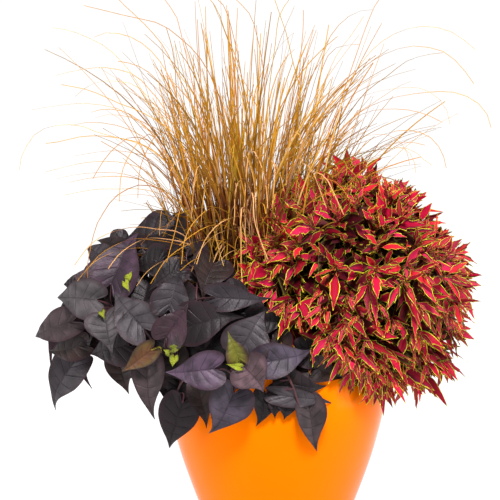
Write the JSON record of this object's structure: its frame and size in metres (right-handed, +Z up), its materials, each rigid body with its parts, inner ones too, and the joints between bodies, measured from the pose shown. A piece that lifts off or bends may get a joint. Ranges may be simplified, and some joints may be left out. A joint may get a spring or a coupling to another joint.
{
  "type": "mixed coleus planter",
  "caption": "Glossy round pot of soil planted with a dissected-leaf coleus, a dark trailing sweet potato vine and an arching bronze sedge.",
  "frame": {"origin": "centre of the underside of the pot, on the surface it stands on", "axes": "+Z up along the pot's axis; the front, where the vine hangs over the rim, faces -Y; the coleus is on the +X side"},
  "size_m": [0.7387, 0.7101, 0.9102],
  "materials": {
    "pot_finish": "high gloss, smooth",
    "potting_soil": "crumbly potting mix of bark and peat",
    "sedge_blade": "fine dry-looking blades, satin",
    "coleus_foliage": "soft satin leaf with a thin yellow-green margin",
    "vine_stem": "satin stem",
    "vine_leaf": "satin leaf with a faint sheen"
  },
  "bodies": {
    "root": {"coleus_branch_back": "coleus_foliage", "coleus_branch_back_right": "coleus_foliage", "coleus_branch_front": "coleus_foliage", "coleus_branch_front_left": "coleus_foliage", "coleus_branch_front_right": "coleus_foliage", "coleus_branch_low_back": "coleus_foliage", "coleus_branch_low_front": "coleus_foliage", "coleus_branch_low_right": "coleus_foliage", "coleus_branch_right": "coleus_foliage", "coleus_branch_top": "coleus_foliage", "coleus_branch_upper_front": "coleus_foliage", "coleus_branch_upper_left": "coleus_foliage", "coleus_branch_upper_right": "coleus_foliage", "pot": "pot_finish", "potting_soil": "potting_soil", "sedge_tuft_back": "sedge_blade", "sedge_tuft_front": "sedge_blade", "sedge_tuft_left": "sedge_blade", "sedge_tuft_right": "sedge_blade", "vine_leaf_01": "vine_leaf", "vine_leaf_02": "vine_leaf", "vine_leaf_03": "vine_leaf", "vine_leaf_04": "vine_leaf", "vine_leaf_05": "vine_leaf", "vine_leaf_06": "vine_leaf", "vine_leaf_08": "vine_leaf", "vine_leaf_09": "vine_leaf", "vine_leaf_10": "vine_leaf", "vine_leaf_11": "vine_leaf", "vine_leaf_12": "vine_leaf", "vine_leaf_13": "vine_leaf", "vine_leaf_14": "vine_leaf", "vine_leaf_15": "vine_leaf", "vine_leaf_16": "vine_leaf", "vine_leaf_17": "vine_leaf", "vine_leaf_18": "vine_leaf", "vine_leaf_20": "vine_leaf", "vine_leaf_21": "vine_leaf", "vine_leaf_22": "vine_leaf", "vine_leaf_24": "vine_leaf", "vine_leaf_26": "vine_leaf", "vine_leaf_27": "vine_leaf", "vine_leaf_28": "vine_leaf", "vine_leaf_29": "vine_leaf", "vine_leaf_30": "vine_leaf", "vine_leaf_32": "vine_leaf", "vine_leaf_34": "vine_leaf", "vine_leaf_35": "vine_leaf", "vine_leaf_37": "vine_leaf", "vine_leaf_gold": "vine_leaf", "vine_leaf_young": "vine_leaf", "vine_runner_front": "vine_stem", "vine_runner_high": "vine_stem", "vine_runner_left": "vine_stem", "vine_runner_low": "vine_stem", "vine_runner_low_left": "vine_stem", "vine_runner_middle": "vine_stem", "vine_runner_right": "vine_stem", "vine_shoot_back": "vine_stem", "vine_shoot_far_left": "vine_stem"}
  },
  "joints": []
}
